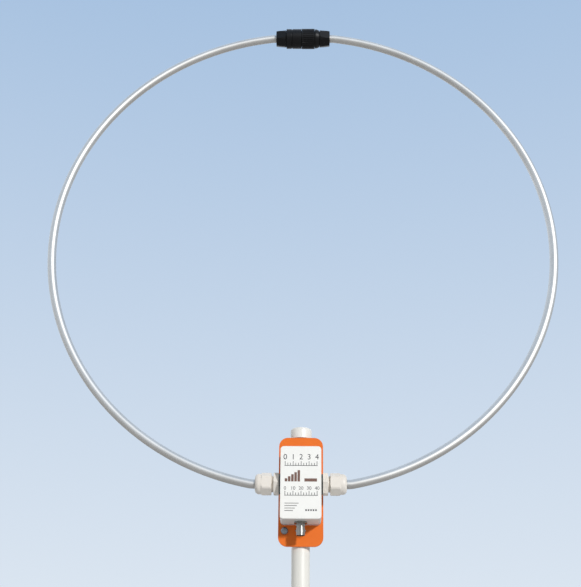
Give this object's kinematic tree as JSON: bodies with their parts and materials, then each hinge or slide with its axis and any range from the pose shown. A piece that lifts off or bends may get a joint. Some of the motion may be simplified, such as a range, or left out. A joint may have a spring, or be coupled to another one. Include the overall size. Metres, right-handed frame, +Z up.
{
  "type": "radio loop antenna",
  "caption": "Round receiving loop of silver tube with a black coupler at its top, held by cable glands in a small white amplifier case on an orange plate clipped to a pipe mast.",
  "frame": {"origin": "middle of the mast pipe's lower end, on the pipe's axis", "axes": "+Z up the mast, the case's front faces -Y, and the loop lies in a plane parallel to X and Z"},
  "size_m": [0.61, 0.0614, 1.0378],
  "materials": {
    "pipe_white": "satin white PVC",
    "plate_orange": "satin orange sheet",
    "clip_grey": "satin light grey nylon",
    "screw_steel": "bright zinc plate",
    "case_white": "fine moulded texture",
    "label_film": "smooth printed film",
    "board_green": "solder mask",
    "component_black": "moulded",
    "capacitor_blue": "shrink sleeve",
    "lead_red": "insulated wire",
    "contact_brass": "turned",
    "jack_nickel": "nickel plate",
    "jack_insulator": "smooth",
    "gland_ivory": "satin moulded nylon",
    "seal_rubber": "matt",
    "tube_silver": "satin drawn tube",
    "coupler_black": "satin moulded nylon"
  },
  "bodies": {
    "mast": {"mast_pipe": "pipe_white", "mast_cap": "pipe_white"},
    "head": {"back_plate": "plate_orange", "upper_clip": "clip_grey", "lower_clip": "clip_grey", "clip_screws": "screw_steel", "clip_nuts": "screw_steel", "case_tray": "case_white", "case_gasket": "seal_rubber", "case_lid": "case_white", "case_screws": "screw_steel", "front_label": "label_film", "circuit_board": "board_green", "board_screws": "screw_steel", "input_transformer": "component_black", "output_transformer": "component_black", "transistors": "component_black", "capacitors": "capacitor_blue", "terminal_posts": "contact_brass", "terminal_screws": "screw_steel", "jack_lead": "lead_red", "jack_shell": "jack_nickel", "jack_insulator": "jack_insulator", "jack_contact": "contact_brass", "jack_washer": "jack_nickel", "jack_nut": "jack_nickel", "left_gland_washer": "seal_rubber", "left_gland_body": "gland_ivory", "left_gland_seal": "seal_rubber", "left_gland_locknut": "gland_ivory", "right_gland_washer": "seal_rubber", "right_gland_body": "gland_ivory", "right_gland_seal": "seal_rubber", "right_gland_locknut": "gland_ivory", "left_tube": "tube_silver", "right_tube": "tube_silver", "coupler_plug": "coupler_black", "coupler_socket": "coupler_black", "left_coupler_seal": "seal_rubber", "right_coupler_seal": "seal_rubber", "coupler_o_ring": "seal_rubber", "contact_pin": "contact_brass", "contact_sleeve": "contact_brass"},
    "left_gland_nut": {"left_gland_nut": "gland_ivory"},
    "right_gland_nut": {"right_gland_nut": "gland_ivory"},
    "coupler_ring": {"coupler_ring": "coupler_black"},
    "left_coupler_nut": {"left_coupler_nut": "coupler_black"},
    "right_coupler_nut": {"right_coupler_nut": "coupler_black"}
  },
  "joints": [
    {"name": "head_swivel", "type": "hinge", "parent": "mast", "child": "head", "pos_m": [0, 0, 0.429], "axis": [0, 0, 1], "continuous": true},
    {"name": "left_gland_nut_turn", "type": "hinge", "parent": "head", "child": "left_gland_nut", "pos_m": [-0.0407, -0.03135, 0.43225], "axis": [1, 0, 0], "continuous": true},
    {"name": "right_gland_nut_turn", "type": "hinge", "parent": "head", "child": "right_gland_nut", "pos_m": [0.0407, -0.03135, 0.43225], "axis": [1, 0, 0], "continuous": true},
    {"name": "coupler_ring_turn", "type": "hinge", "parent": "head", "child": "coupler_ring", "pos_m": [0.0067, -0.03135, 1.0248], "axis": [1, 0, 0], "continuous": true},
    {"name": "left_coupler_nut_turn", "type": "hinge", "parent": "head", "child": "left_coupler_nut", "pos_m": [-0.02845, -0.03135, 1.0248], "axis": [1, 0, 0], "continuous": true},
    {"name": "right_coupler_nut_turn", "type": "hinge", "parent": "head", "child": "right_coupler_nut", "pos_m": [0.02845, -0.03135, 1.0248], "axis": [1, 0, 0], "continuous": true}
  ]
}
